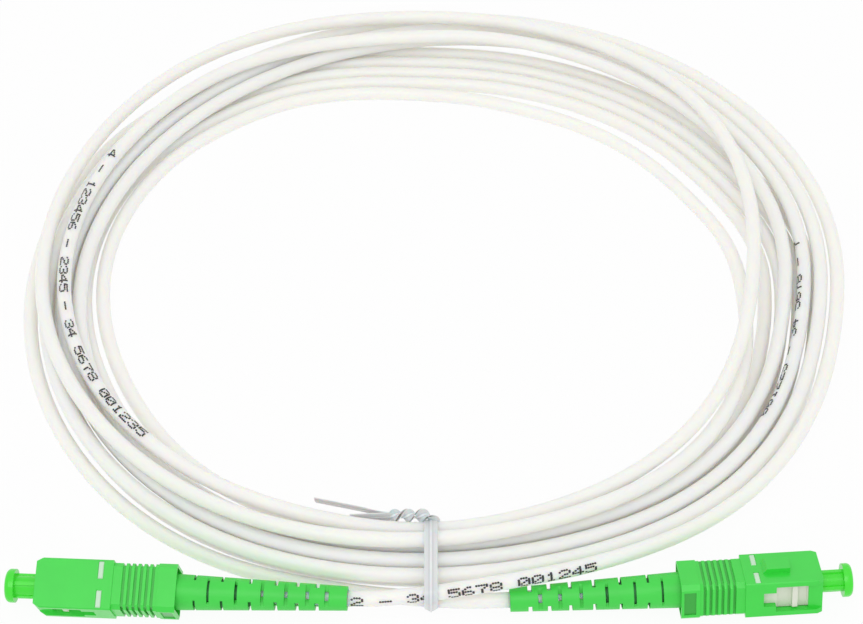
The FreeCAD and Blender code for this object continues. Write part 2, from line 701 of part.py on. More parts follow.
box_all = FreeCAD.BoundBox()
for name in nodes:
    if name not in ("cord_coil", "left_lead", "right_lead", "twist_tie"):
        box_all.add(nodes[name].BoundBox)
shift = V(-(box_all.XMin + box_all.XMax) / 2, -(box_all.YMin + box_all.YMax) / 2, -box_all.ZMin)
print("shift to the frame", shift)
print("left at", left_place.Base + shift, "right at", right_place.Base + shift)
for name in nodes:
    shape = nodes[name]
    shape.translate(shift)
    shape.exportStep("parts/" + name + ".step")
    facts = (shape.isValid(), len(shape.Solids), round(shape.Volume, 2), round(shape.BoundBox.ZMin, 3))
    print(name, "valid, solids, volume, lowest:", facts)
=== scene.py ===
"""A white optical patch cord, coiled and tied, with a green push-pull plug at each end.

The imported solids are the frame. This script dresses them: the cord is one tube along the winding,
the tie, the print on the cord and the marks are surfaces worked out here, and the plugs keep their
solids, with softened edges and moulded plastic.
"""

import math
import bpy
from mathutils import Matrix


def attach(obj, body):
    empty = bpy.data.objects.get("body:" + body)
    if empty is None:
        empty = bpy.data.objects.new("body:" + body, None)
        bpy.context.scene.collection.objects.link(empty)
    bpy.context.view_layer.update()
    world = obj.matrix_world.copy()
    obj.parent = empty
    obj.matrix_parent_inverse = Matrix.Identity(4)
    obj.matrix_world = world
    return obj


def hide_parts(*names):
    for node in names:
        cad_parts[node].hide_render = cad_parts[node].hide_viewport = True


bl_info = {
    "name": "Patch Cord",
    "version": (1, 0, 0),
    "blender": (4, 5, 0),
    "location": "3D Viewport > Sidebar > Patch Cord",
    "description": "Dresses a coiled optical patch cord and its two plugs",
    "category": "Object",
}

import bpy
import numpy as np

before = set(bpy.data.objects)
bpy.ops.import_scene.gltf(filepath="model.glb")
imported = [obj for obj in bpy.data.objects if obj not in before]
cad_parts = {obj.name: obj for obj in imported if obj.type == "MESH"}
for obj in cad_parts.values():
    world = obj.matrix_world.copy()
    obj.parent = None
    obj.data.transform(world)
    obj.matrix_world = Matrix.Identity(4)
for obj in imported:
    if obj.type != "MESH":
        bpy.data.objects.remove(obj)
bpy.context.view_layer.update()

MM = 0.001

# The camera, fitted to the corners of both plugs: its place in the coil's coordinates and its
# sensor in millimetres, how far it looks down in degrees, its focal length and picture in pixels.
CAMERA_AT = (0.0, -246.3, 343.73)
CAMERA_DOWN = 47.338
FOCAL_PIXELS = 2342.4
PHOTO_WIDTH = 863
SENSOR = 36.0

# The cord and its coil, in millimetres, as in the solids.
CORD = 2.8
COIL_X = 0.8
COIL_Y = 78.9
RING = 80.1
# How far the ring's edge swings with the cosine and the sine of the angle, then of twice it.
WAVES = (1.3, -2.1, 0.8, 1.85)
LANE = 3.33
LAYER = 3.3
LIFT = 0.95
TIE_PULL = 0.5
TIE_SPAN = 28.0
TIE_SQUEEZE = 0.3
FLOAT = 0.08
TURNS = 9.965
# How far the cord runs straight from each boot, and from the coil's end next to it.
LEFT_STRAIGHT = 4.5
RIGHT_STRAIGHT = 8.0
POINTS_PER_TURN = 40
STEPS_PER_POINT = 4
CORD_SIDES = 32
# A cut end's rounding: its length in radii, and the last circle as a share of the cord's.
END_ROUND = 0.1
END_CIRCLE = 0.93
# From the coil's coordinates to the row frame.
TO_FRAME = np.array((0.431204, 0.727724, 0.0))
# Turn counted from the tie, lanes in from the outer edge, layer.
WINDING = np.array((
    (0.0, -0.3, 2.3), (0.027, -0.3, 2.85), (0.06, -0.1, 2.65), (0.125, 0.125, 2.1),
    (0.25, 0.25, 2.0), (1.0, 1.0, 2.0), (2.0, 2.0, 2.0), (3.0, 3.0, 2.0),
    (3.25, 3.35, 2.0), (3.375, 3.45, 2.35), (3.5, 3.3, 3.0), (3.625, 1.3, 3.0),
    (3.75, 1.75, 3.0), (3.875, 3.2, 3.0), (3.9375, 3.75, 2.7), (4.0, 4.05, 2.0),
    (4.0625, 4.25, 2.6), (4.125, 4.85, 3.2), (4.1875, 5.25, 3.4), (4.25, 5.4, 3.4),
    (4.375, 3.0, 3.3), (4.5, 1.5, 3.1), (4.625, -0.65, 3.0), (4.75, 0.4, 3.0),
    (4.875, 1.95, 3.0), (5.0, 2.7, 3.0), (5.0625, 3.1, 3.1), (5.125, 3.95, 2.7),
    (5.1875, 4.9, 2.2), (5.21875, 5.5, 1.95), (5.25, 5.85, 1.4), (5.3125, 5.6, 1.0),
    (5.375, 5.5, 1.0), (5.4375, 5.4, 1.0), (5.5, 4.8, 1.0), (5.5625, 4.65, 1.0),
    (5.625, 4.575, 1.0), (6.0, 4.2, 1.0), (7.0, 3.2, 1.0), (8.0, 2.2, 1.0),
    (9.0, 1.2, 1.0), (10.0, 0.2, 1.0),
))
# The lower layer by part of a turn: lanes it drifts inwards, share its lanes spread.
DRIFT = np.array((
    (0.0, 0.0, 0.0), (0.04, 0.0, 0.0), (0.167, 0.1, 0.0), (0.25, 0.6, 0.0), (0.333, 2.2, 0.0),
    (0.417, 2.5, 0.0), (0.5, 2.1, 0.0), (0.5417, 1.1, 0.0), (0.583, -0.1, 0.0), (0.625, -0.7, 0.0),
    (0.667, -1.15, 0.0), (0.71, -1.05, 0.0), (0.75, -0.86, 0.05), (0.833, -0.45, 0.17),
    (0.917, -0.2, 0.1), (0.96, 0.0, 0.0), (1.0, 0.0, 0.0),
))
# Bulges of the ring's edge: angle in degrees, width in degrees, height.
BULGES = ((313.0, 20.0, 1.9), (227.0, 22.0, 0.3), (350.0, 14.0, -1.2))

# How each plug lies: rear centre of its grip in millimetres, then its turns in degrees.
PLUGS = {
    "left": {"at": (-44.278796, -1.232276, 5.510965), "yaw": 176.6, "pitch": -1.0, "roll": 156.9},
    "right": {"at": (44.281204, -0.062276, 4.557209), "yaw": 2.7, "pitch": 2.0, "roll": -16.6},
}
# A plug's sizes in its own coordinates, along it from its grip's rear, in millimetres.
BOOT_REAR = -30.0
GRIP_LENGTH = 25.0
GRIP_HEIGHT = 7.4
PANEL_START = 0.5
PANEL_LENGTH = 2.1
PANEL_HEIGHT = 4.8
PANEL_OUT = 3.9
GROOVE_START = 4.15
GROOVE_PITCH = 1.05
GROOVE_WIDTH = 0.5
GROOVE_COUNT = 6
# Half the width of the painted shade along a groove's middle, a little under half the groove.
SHADED_HALF_WIDTH = GROOVE_WIDTH / 2.4
MARK_BACK = 11.0
MARK_LENGTH = 1.0
MARK_WIDTH = 3.2
MARK_SIDE = 2.6
# A mark's share of its pocket, the pocket's depth, and how high the mark stands from its floor.
MARK_FIT = 0.99
MARK_POCKET = 0.21
MARK_RISE = 0.215

# How much painted shade a grip's recessed label panels and finger grooves take, and how dark that
# painted shade is.
PANEL_SHADE = 0.6
GROOVE_SHADE = 0.4
SHADE_TONE = 0.3

# How the solids' edges are softened: width in millimetres, pieces of the arc, and the least
# angle of an edge in degrees.
GRIP_EDGE = 0.09
BOOT_EDGE = {"width": 0.09, "angle": 38}
CAP_EDGE = {"width": 0.12, "segments": 3, "angle": 38}
INNER_EDGE = {"width": 0.08}
# Points nearer than this, in metres, are one, and faces that turn by less, in degrees, are flat.
WELD = 2e-6
FLAT = 1.5

# The print: its words of plain numbers, the turn of the coil near which it starts (none at the
# left boot) and how far past that in millimetres, and its lean from the top in degrees.
PRINTS = (
    ("2 - 34 5678 001245", None, 0.8, -64),
    ("4 - 123456 - 2345 - 34 5678 001235", 3.66, 11.2, 0),
    ("001225 - 34 5678 - 7", 2.16, -1.5, 60),
)
# A dot's length over its width, its sides, and how far each way the cord's heading is read.
DOT_STRETCH = 1.25
DOT_SIDES = 8
HEADING_REACH = 2.0

# The tie, in millimetres.
TIE_X = -0.1 + TO_FRAME[0]
TIE_WIDTH = 2.4
TIE_GAP = 0.04
# How far beside the ribbon a strand is still held by it.
TIE_MARGIN = 0.6
TIE_AROUND = 160
TIE_FOLD = 0.55
# The fold is full where the band faces this way, and starts at that share of it.
FOLD_WAY = (0.0, -0.813, -0.582)
FOLD_FROM = 0.62
# The twist starts at the band's corner that lies furthest this way, inwards and up, and runs
# through these points from there.
CORNER_WAY = (0.85, 0.53)
TWIST_KNOTS = ((0.8, -0.7, 0.0), (-0.2, 0.3, 0.55), (-3.9, 0.8, 0.55), (-7.4, 1.2, 0.0))
# How far each ribbon keeps from the twist's middle, at its ends and more halfway.
TWIST_APART = (0.18, 0.14)
# The twisted ribbon's thickness and its wire, as shares of the band's.
TWIST_THIN = (0.8, 0.85)
TIE_TWISTS = 1.5
TIE_STEPS = 260
# Where along a loose end its line bends, as a share of its reach.
TAIL_BEND = 0.45
# Each loose end: side of the twist it starts from, how far it reaches, its turn at rest.
TIE_TAILS = ((0.0, (-13.8, 3.7, -0.4), 106.0), (math.pi, (-7.2, 0.3, -0.9), 90.0))

# The lamps: place, the point they face, and side, in metres.
SOFTBOX = ((0.05, 0.10, 0.75), (0.0, 0.05, 0.0), 0.7)
FRONT_BOX = ((-0.1, -0.45, 0.85), (0.0, 0.05, 0.0), 0.6)
# The floor's half side and how far it lies under the part, in metres.
FLOOR_REACH = 3.0
FLOOR_DROP = 0.00012
# How much of the floor is white of its own to the camera, to gloss and to soft light.
FLOOR_WHITE = (0.94, 0.8, 0.65)


# ---- Shader expressions ----


class Value:
    """A socket that takes part in arithmetic: each operator adds one Math node."""

    def __init__(self, finish, socket):
        self.finish = finish
        self.socket = socket

    def _with(self, operation, a, b):
        return self.finish.node("ShaderNodeMath", {"operation": operation}, {0: a, 1: b})

    def __add__(self, other):
        return self._with("ADD", self, other)

    def __radd__(self, other):
        return self._with("ADD", other, self)

    def __sub__(self, other):
        return self._with("SUBTRACT", self, other)

    def __rsub__(self, other):
        return self._with("SUBTRACT", other, self)

    def __mul__(self, other):
        return self._with("MULTIPLY", self, other)

    def __rmul__(self, other):
        return self._with("MULTIPLY", other, self)

    def __truediv__(self, other):
        return self._with("DIVIDE", self, other)

    def __gt__(self, other):
        return self._with("GREATER_THAN", self, other)

    def __lt__(self, other):
        return self._with("LESS_THAN", self, other)


class Finish:
    """A material under construction: one Principled shader and the nodes that feed it."""

    def __init__(self, name, **shader):
        self.material = bpy.data.materials.new(name)
        self.material.use_nodes = True
        self.tree = self.material.node_tree
        self.tree.nodes.clear()
        self.output = self.tree.nodes.new("ShaderNodeOutputMaterial")
        self.shader = self.tree.nodes.new("ShaderNodeBsdfPrincipled")
        self.tree.links.new(self.shader.outputs[0], self.output.inputs["Surface"])
        for socket, value in shader.items():
            self.feed(socket.replace("_", " "), value)

    def node(self, kind, settings=None, inputs=None, out=0):
        """A node of that type with its settings, then its sockets' values or links."""
        made = self.tree.nodes.new(kind)
        for key, value in (settings or {}).items():
            if key == "stops":
                ramp = made.color_ramp
                while len(ramp.elements) < len(value):
                    ramp.elements.new(0.5)
                for element, (place, colour) in zip(ramp.elements, value):
                    element.position = place
                    element.color = (*colour, 1.0)
            else:
                setattr(made, key, value)
        for key, value in (inputs or {}).items():
            socket = made.inputs[key]
            if isinstance(value, Value):
                self.tree.links.new(value.socket, socket)
            elif socket.type == "RGBA" and len(value) == 3:
                socket.default_value = (*value, 1.0)
            else:
                socket.default_value = value
        return Value(self, made.outputs[out])

    def feed(self, socket, value):
        """Set or link one socket of the Principled shader."""
        target = self.shader.inputs[socket]
        if isinstance(value, Value):
            self.tree.links.new(value.socket, target)
        elif target.type == "RGBA" and len(value) == 3:
            target.default_value = (*value, 1.0)
        else:
            target.default_value = value

    def place(self, scale=(1, 1, 1)):
        """Object coordinates, in millimetres, stretched by scale."""
        here = self.node("ShaderNodeTexCoord", out="Object")
        factors = [s / MM for s in scale]
        return self.node("ShaderNodeMapping", None, {"Vector": here, "Scale": factors})

    def in_plug(self, plug):
        """A plug's own coordinates in millimetres: along it, across it and up from it."""
        here = self.node("ShaderNodeTexCoord", out="Object")
        turns = [math.radians(angle) for angle in (plug["roll"], -plug["pitch"], plug["yaw"])]
        at = [MM * place for place in plug["at"]]
        inputs = {"Vector": here, "Location": at, "Rotation": turns, "Scale": (MM, MM, MM)}
        own = self.node("ShaderNodeMapping", {"vector_type": "TEXTURE"}, inputs)
        return [self.node("ShaderNodeSeparateXYZ", None, {0: own}, out=axis) for axis in range(3)]

    def noise(self, size, detail=2.0, rough=0.5, scale=(1, 1, 1)):
        """Soft noise from 0 to 1 whose features are about size millimetres."""
        inputs = {"Vector": self.place(scale), "Scale": 1.0 / size}
        inputs.update({"Detail": detail, "Roughness": rough})
        return self.node("ShaderNodeTexNoise", None, inputs, out="Fac")

    def mix(self, amount, a, b):
        """One colour over another by amount."""
        settings = {"data_type": "RGBA", "blend_type": "MIX"}
        return self.node("ShaderNodeMix", settings, {0: amount, 6: a, 7: b}, out=2)

    def bump(self, height, depth):
        """Relief of that height field, depth in millimetres."""
        inputs = {"Height": height, "Distance": depth * MM, "Strength": 1.0}
        self.feed("Normal", self.node("ShaderNodeBump", None, inputs, out="Normal"))


def tinted(colour, by):
    """A colour made lighter or darker by a factor, kept under 1."""
    return tuple(min(1.0, c * by) for c in colour[:3])


def moulded(name, colour, rough, size=0.35, relief=0.004, coat=0.0, painted_shade=None):
    """Moulded plastic: faint mottling, fine skin and patchy gloss.

    An optional function makes at each point the share of a darker tone, which is painted shade.
    """
    f = Finish(name, IOR=1.5, Coat_Weight=coat, Coat_Roughness=0.1)
    tone = f.mix(f.noise(6.0, 3.0), tinted(colour, 0.93), tinted(colour, 1.06))
    if painted_shade:
        # Painted shade: the darker tone is mixed into the colour by the given share.
        tone = f.mix(painted_shade(f), tone, tinted(colour, SHADE_TONE))
    f.feed("Base Color", tone)
    f.feed("Roughness", f.noise(1.6, 4.0) * 0.12 + (rough - 0.06))
    f.bump(f.noise(size, 3.0, 0.6), relief)
    return f


def make_grip(side, colour):
    """A grip's glossy plastic, with painted shade in the recessed label panels at its sides and in
    its finger grooves.

    A panel is where the grip is wider than its floor, over the panel's length and height. Along the
    grip a groove is where the distance from the first one, over their pitch, is within the shaded
    half width of a whole number.
    """

    # Painted shade, darker green in the recessed panels and along the grooves' middles.
    def painted_shade(f):
        x, y, z = f.in_plug(PLUGS[side])
        along = x - PANEL_START
        length = (along > 0) * (along < PANEL_LENGTH)
        panel = length * (y * y > PANEL_OUT**2) * (z * z < (PANEL_HEIGHT / 2) ** 2)
        steps = (x - GROOVE_START) / GROOVE_PITCH + 0.5
        share = f.node("ShaderNodeMath", {"operation": "FRACT"}, {0: steps}) - 0.5
        row = (steps > 0) * (steps < GROOVE_COUNT)
        groove = row * (share * share < (SHADED_HALF_WIDTH / GROOVE_PITCH) ** 2)
        return panel * PANEL_SHADE + groove * GROOVE_SHADE

    return moulded(side + "_grip_green", colour, 0.32, coat=0.15, painted_shade=painted_shade)


def make_jacket(colour):
    """The cord's jacket: satin plastic that lets a little light through, faintly uneven."""
    f = Finish("cord_jacket", IOR=1.46, Subsurface_Weight=1.0, Subsurface_Radius=(1.0, 0.78, 0.52))
    f.feed("Subsurface Scale", 2.4 * MM)
    cloud = f.noise(9.0, 3.0)
    f.feed("Base Color", f.mix(cloud, tinted(colour, 0.97), tinted(colour, 1.02)))
    f.feed("Roughness", f.noise(2.5, 3.0) * 0.14 + 0.30)
    f.bump(f.noise(0.8, 2.0, 0.6), 0.006)
    return f


def make_metal(name, colour, rough, lines=0.06):
    """Turned or drawn metal with fine lines."""
    f = Finish(name, Metallic=1.0)
    grain = f.noise(lines, 2.0, 0.7, (3.0, 0.4, 1.0))
    f.feed("Base Color", f.mix(grain, tinted(colour, 0.86), tinted(colour, 1.05)))
    f.feed("Roughness", grain * 0.18 + rough)
    f.bump(grain, 0.002)
    return f


def make_yarn(colour):
    """Strength yarn: fine strands along the plug, with sheen."""
    f = Finish("aramid_yarn", Roughness=0.75, Sheen_Weight=0.4)
    strand = f.noise(0.09, 2.0, 0.6, (0.12, 1.0, 1.0))
    f.feed("Base Color", f.mix(strand, tinted(colour, 0.6), tinted(colour, 1.15)))
    f.bump(strand, 0.05)
    return f


def make_tie_plastic(colour):
    """The tie's clear-white ribbon: glossy and cloudy, paler at its edges and over its wire.

    The mesh holds how far across the ribbon a point is, from -1 to 1, in an attribute.
    """
    f = Finish("tie_plastic", IOR=1.5, Coat_Weight=0.3, Coat_Roughness=0.2)
    f.feed("Subsurface Weight", 0.3)
    f.feed("Subsurface Scale", 0.8 * MM)
    across = f.node("ShaderNodeAttribute", {"attribute_name": "across"}, out="Fac")
    off = f.node("ShaderNodeMath", {"operation": "ABSOLUTE"}, {0: across})
    pale, plain, deep = tinted(colour, 1.16), colour[:3], tinted(colour, 0.80)
    bands = ((0.0, pale), (0.1, pale), (0.24, deep), (0.5, plain), (0.82, plain), (0.97, pale))
    ribbon = f.node("ShaderNodeValToRGB", {"stops": bands}, {0: off})
    f.feed("Base Color", f.mix(f.noise(1.5, 3.0) * 0.5, ribbon, tinted(colour, 0.9)))
    f.feed("Roughness", f.noise(0.6, 3.0) * 0.2 + 0.22)
    f.bump(f.noise(0.5, 3.0, 0.6), 0.015)
    return f


def make_ceramic(colour):
    """Polished zirconia: dense, white and glossy."""
    f = Finish("zirconia", IOR=2.1)
    f.feed("Base Color", f.mix(f.noise(0.8, 2.0), tinted(colour, 0.97), tinted(colour, 1.02)))
    f.feed("Roughness", f.noise(0.4, 2.0) * 0.05 + 0.08)
    return f


# ---- Shapes ----


def turned(plug):
    """The 3x3 matrix of a plug: roll about its length, then pitch, then heading."""
    roll, pitch, yaw = (math.radians(plug[k]) for k in ("roll", "pitch", "yaw"))
    cr, sr, cp, sp, cy, sy = (g(a) for a in (roll, -pitch, yaw) for g in (math.cos, math.sin))
    about_x = np.array(((1, 0, 0), (0, cr, -sr), (0, sr, cr)))
    about_y = np.array(((cp, 0, sp), (0, 1, 0), (-sp, 0, cp)))
    about_z = np.array(((cy, -sy, 0), (sy, cy, 0), (0, 0, 1)))
    return about_z @ about_y @ about_x


def in_frame(side, points):
    """Points in a plug's own frame, in millimetres, placed in the row frame in metres."""
    plug = PLUGS[side]
    return (np.asarray(points, float) @ turned(plug).T + np.array(plug["at"])) * MM


def table_slopes(rows, column):
    """Slopes through a table's rows: a weighted harmonic mean of the steps on each side."""
    place = rows[:, 0]
    step = np.diff(rows[:, column]) / np.diff(place)
    before, after = np.diff(place)[:-1], np.diff(place)[1:]
    low, high = step[:-1], step[1:]
    same = low * high > 0
    safe_low, safe_high = np.where(same, low, 1.0), np.where(same, high, 1.0)
    weighted = (2 * after + before) / safe_low + (after + 2 * before) / safe_high
    mean = 3 * (before + after) / weighted
    return np.concatenate((step[:1], np.where(same, mean, 0.0), step[-1:]))


def read_table(rows, place, column):
    """A table's column at each place: the cubic between two rows."""
    k = np.clip(np.searchsorted(rows[:, 0], place, side="left") - 1, 0, len(rows) - 2)
    slope = table_slopes(rows, column)
    h = rows[k + 1, 0] - rows[k, 0]
    u = (place - rows[k, 0]) / h
    ends = rows[k, column] * (2 * u**3 - 3 * u**2 + 1) + rows[k + 1, column] * (3 * u**2 - 2 * u**3)
    bends = slope[k] * (u**3 - 2 * u**2 + u) + slope[k + 1] * (u**3 - u**2)
    return ends + h * bends


def coil_points(turn):
    """The cord's centre line, in frame millimetres.

    The angle is 360 degrees times the turn, from the tie. The radius is the ring's edge, a circle
    with two small waves, a pull at the tie and three bulges, less the lane times its pitch. Lower
    lanes drift and spread by the drift table. The height is the layer times its pitch, with a lift
    over the tie.
    """
    turn = np.asarray(turn, float)
    a = 2 * np.pi * (turn - 0.25)
    lane = read_table(WINDING, turn, 1)
    layer = read_table(WINDING, turn, 2)
    from_tie = np.abs((np.degrees(a) + 90) % 360)
    from_tie = np.minimum(from_tie, 360 - from_tie)
    near = np.exp(-((from_tie / TIE_SPAN) ** 2))
    edge = RING + WAVES[0] * np.cos(a) + WAVES[1] * np.sin(a)
    edge = edge + WAVES[2] * np.cos(2 * a) + WAVES[3] * np.sin(2 * a) - TIE_PULL * near
    for at, wide, out in BULGES:
        edge = edge + out * np.exp(-((((np.degrees(a) - at + 180) % 360 - 180) / wide) ** 2))
    under = np.clip(2 - layer, 0, None)
    drift = read_table(DRIFT, turn % 1, 1) + lane * read_table(DRIFT, turn % 1, 2)
    lane = lane + under * (TIE_SQUEEZE * near + drift)
    r = edge - LANE * lane
    z = CORD / 2 + FLOAT + LAYER * (layer - 1) + LIFT * near
    points = np.stack((COIL_X + r * np.cos(a), COIL_Y + r * np.sin(a), z), axis=-1)
    return points + TO_FRAME


def cord_route():
    """Control points of the whole cord in metres: left boot, coil, right boot.

    Between a boot and the coil the line runs straight on from each, by the same length.
    """
    left = in_frame("left", ((BOOT_REAR, 0, 0), (BOOT_REAR - LEFT_STRAIGHT, 0, 0))) / MM
    right = in_frame("right", ((BOOT_REAR - RIGHT_STRAIGHT, 0, 0), (BOOT_REAR, 0, 0))) / MM
    ends = coil_points((0.0, 0.0005, TURNS - 0.0005, TURNS))
    leave = (ends[1] - ends[0]) / np.linalg.norm(ends[1] - ends[0])
    arrive = (ends[3] - ends[2]) / np.linalg.norm(ends[3] - ends[2])
    before, after = ends[0] - LEFT_STRAIGHT * leave, ends[3] + RIGHT_STRAIGHT * arrive
    coil = coil_points(np.linspace(0.0, TURNS, int(TURNS * POINTS_PER_TURN) + 1))
    return np.vstack((left, before, coil, after, right)) * MM


def new_object(name, data, body):
    """An object at the origin that rides on a body."""
    made = bpy.data.objects.new(name, data)
    bpy.context.scene.collection.objects.link(made)
    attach(made, body)
    return made


def mesh_from(name, points, faces):
    """A smooth mesh from arrays of points and faces."""
    mesh = bpy.data.meshes.new(name)
    mesh.from_pydata(np.asarray(points, float).tolist(), [], np.asarray(faces).tolist())
    mesh.polygons.foreach_set("use_smooth", np.ones(len(mesh.polygons), bool))
    mesh.update()
    return mesh


def grid_faces(rows, columns, wrap_rows=False, wrap_columns=False):
    """Quads of a grid of rows by columns, joined round where asked."""
    i = np.arange(rows if wrap_rows else rows - 1)
    j = np.arange(columns if wrap_columns else columns - 1)
    i, j = np.meshgrid(i, j, indexing="ij")
    i2, j2 = (i + 1) % rows, (j + 1) % columns
    here, next_row = i * columns, i2 * columns
    return np.stack((here + j, next_row + j, next_row + j2, here + j2), axis=-1).reshape(-1, 4)


def swept(path, across, up, profile):
    """A profile carried along a path: each point is path + u * across + v * up."""
    u = profile[:, 0][None, :, None]
    v = profile[:, 1][None, :, None]
    return path[:, None, :] + across[:, None, :] * u + up[:, None, :] * v


def spline_line(points):
    """The smooth line of a NURBS spline with those control points, as Blender works it out."""
    data = bpy.data.curves.new("route", "CURVE")
    data.dimensions = "3D"
    spline = data.splines.new("NURBS")
    spline.points.add(len(points) - 1)
    spline.points.foreach_set("co", np.hstack((points, np.ones((len(points), 1)))).ravel())
    spline.order_u = 3
    spline.use_endpoint_u = True
    data.resolution_u = STEPS_PER_POINT
    data.render_resolution_u = 0
    route = bpy.data.objects.new("route", data)
    mesh = bpy.data.meshes.new_from_object(route)
    line = np.empty(len(mesh.vertices) * 3)
    mesh.vertices.foreach_get("co", line)
    bpy.data.objects.remove(route)
    bpy.data.curves.remove(data)
    bpy.data.meshes.remove(mesh)
    return line.reshape(-1, 3)


def tube_along(line, radius, sides):
    """A tube along a line, with rounded ends: each section is a circle square to the line.

    Its directions are the line's heading crossed with straight up, and that crossed with the
    heading. At each end the circle shrinks over the last tenth of a radius, then closes at a point.
    """
    along = np.gradient(line, axis=0)
    along /= np.linalg.norm(along, axis=1, keepdims=True)
    side = np.cross(along, np.array((0, 0, 1.0)))
    side /= np.linalg.norm(side, axis=1, keepdims=True)
    up = np.cross(side, along)
    turn = np.linspace(0, 2 * np.pi, sides, endpoint=False)
    circle = np.stack((np.cos(turn), np.sin(turn)), axis=-1) * radius
    rings = swept(line, side, up, circle)
    start, end = line[None, :1], line[None, -1:]
    back, on = -along[0] * END_ROUND * radius, along[-1] * END_ROUND * radius
    first = start + (rings[:1] - start) * END_CIRCLE + back
    last = end + (rings[-1:] - end) * END_CIRCLE + on
    tip, tail = np.repeat(start + back, sides, axis=1), np.repeat(end + on, sides, axis=1)
    rings = np.concatenate((tip, first, rings, last, tail))
    return rings.reshape(-1, 3), grid_faces(len(rings), sides, False, True)


# Dots of a five by seven printing head, one number per row, five bits each.
DIGITS = {
    "0": (14, 17, 19, 21, 25, 17, 14), "1": (4, 12, 4, 4, 4, 4, 14),
    "2": (14, 17, 1, 6, 8, 16, 31), "3": (14, 17, 1, 6, 1, 17, 14),
    "4": (2, 6, 10, 18, 31, 2, 2), "5": (31, 16, 30, 1, 1, 17, 14),
    "6": (6, 8, 16, 30, 17, 17, 14), "7": (31, 1, 2, 4, 4, 4, 4),
    "8": (14, 17, 17, 14, 17, 17, 14), "9": (14, 17, 17, 15, 1, 2, 12),
    "-": (0, 0, 0, 31, 0, 0, 0), " ": (0, 0, 0, 0, 0, 0, 0),
}


def dots_of(text, pitch, width, height):
    """Where the printing head puts its dots: along the text and across it, in millimetres."""
    rows = np.array([DIGITS[c] for c in text])
    bits = (rows[:, :, None] >> np.arange(4, -1, -1)[None, None, :]) & 1
    letter, row, column = np.nonzero(bits)
    return np.stack((letter * pitch + column * width / 4, height / 2 - row * height / 6), axis=-1)


def print_on(line, start, text, lean, props):
    """Dots of text laid on the cord from a length along it.

    A dot is a small ellipse. Its place along the cord gives the section; its place across the text
    over the cord's radius gives the angle from lean, which is 0 on top and positive inwards.
    """
    dots = dots_of(text, props.pitch / MM, props.width / MM, props.height / MM) * MM
    around = np.linspace(0, 2 * np.pi, DOT_SIDES, endpoint=False)
    ring = np.stack((DOT_STRETCH * np.cos(around), np.sin(around)), axis=-1) * props.dot
    spots = np.concatenate((dots[:, None, :], dots[:, None, :] + ring[None]), axis=1)
    step = np.linalg.norm(np.diff(line, axis=0), axis=1)
    length = np.concatenate(((0,), np.cumsum(step)))
    s = start + spots[..., 0]

    def centre(s):
        return np.stack([np.interp(s, length, line[:, k]) for k in range(3)], axis=-1)

    along = centre(s + HEADING_REACH * MM) - centre(s - HEADING_REACH * MM)
    along /= np.linalg.norm(along, axis=-1, keepdims=True)
    inward = np.cross(np.array((0, 0, 1.0)), along)
    inward /= np.linalg.norm(inward, axis=-1, keepdims=True)
    up = np.cross(along, inward)
    radius = CORD / 2 * MM
    angle = math.radians(lean) + spots[..., 1] / radius
    out = up * np.cos(angle)[..., None] + inward * np.sin(angle)[..., None]
    points = centre(s) + out * (radius + props.lift)
    base = np.arange(len(dots))[:, None, None] * (DOT_SIDES + 1)
    k = np.arange(DOT_SIDES)
    fan = np.stack((np.zeros(DOT_SIDES, int), 1 + k, 1 + (k + 1) % DOT_SIDES), axis=-1)[None]
    return points.reshape(-1, 3), (base + fan).reshape(-1, 3)


def bundle_outline(points, radius, count):
    """Round a bundle of cords: for each direction the furthest centre, plus radius that way."""
    angle = np.linspace(0, 2 * np.pi, count, endpoint=False)
    way = np.stack((np.cos(angle), np.sin(angle)), axis=-1)
    return points[np.argmax(points @ way.T, axis=0)] + radius * way


def even(points, count):
    """Points at even spacing along a closed outline."""
    closed = np.vstack((points, points[:1]))
    length = np.concatenate(((0,), np.cumsum(np.linalg.norm(np.diff(closed, axis=0), axis=1))))
    s = np.linspace(0, length[-1], count, endpoint=False)
    return np.stack([np.interp(s, length, closed[:, k]) for k in range(closed.shape[1])], axis=-1)


def ribbon_profile(width, thick, wire):
    """The tie's section: a thin strip with rounded edges and the round bulge of its wire.

    Across is from -1 to 1 of half the width. The half thickness is constant, drops to zero at the
    edges as a circle does, and rises over the wire as a smooth bump.
    """
    u = np.sin(np.linspace(-np.pi / 2, np.pi / 2, 13))
    half = thick / 2 * np.sqrt(np.clip(1 - u**8, 0, 1))
    half = half + (wire - thick / 2) * np.exp(-((u * width / 2 / wire) ** 2) * 1.4)
    top = np.stack((u * width / 2, half), axis=-1)
    bottom = np.stack((u[::-1] * width / 2, -half[::-1]), axis=-1)
    return np.vstack((top, bottom[1:-1]))


def frames_along(path, turn):
    """Across and up for an open path, turned about it by an angle at each point."""
    along = np.gradient(path, axis=0)
    along /= np.linalg.norm(along, axis=1, keepdims=True)
    side = np.cross(along, np.array((0, 0, 1.0)))
    side /= np.linalg.norm(side, axis=1, keepdims=True)
    up = np.cross(side, along)
    c, s = np.cos(turn)[:, None], np.sin(turn)[:, None]
    return side * c + up * s, up * c - side * s


def smooth_path(knots, count):
    """A smooth line through a few points: cubic pieces whose slopes are the mean of the steps."""
    knots = np.asarray(knots, float)
    t = np.concatenate(((0,), np.cumsum(np.linalg.norm(np.diff(knots, axis=0), axis=1))))
    slope = np.gradient(knots, t, axis=0)
    s = np.linspace(0, t[-1], count)
    k = np.clip(np.searchsorted(t, s, side="right") - 1, 0, len(t) - 2)
    h = (t[k + 1] - t[k])[:, None]
    u = ((s - t[k]) / (t[k + 1] - t[k]))[:, None]
    ends = knots[k] * (2 * u**3 - 3 * u**2 + 1) + knots[k + 1] * (3 * u**2 - 2 * u**3)
    return ends + h * (slope[k] * (u**3 - 2 * u**2 + u) + slope[k + 1] * (u**3 - u**2))


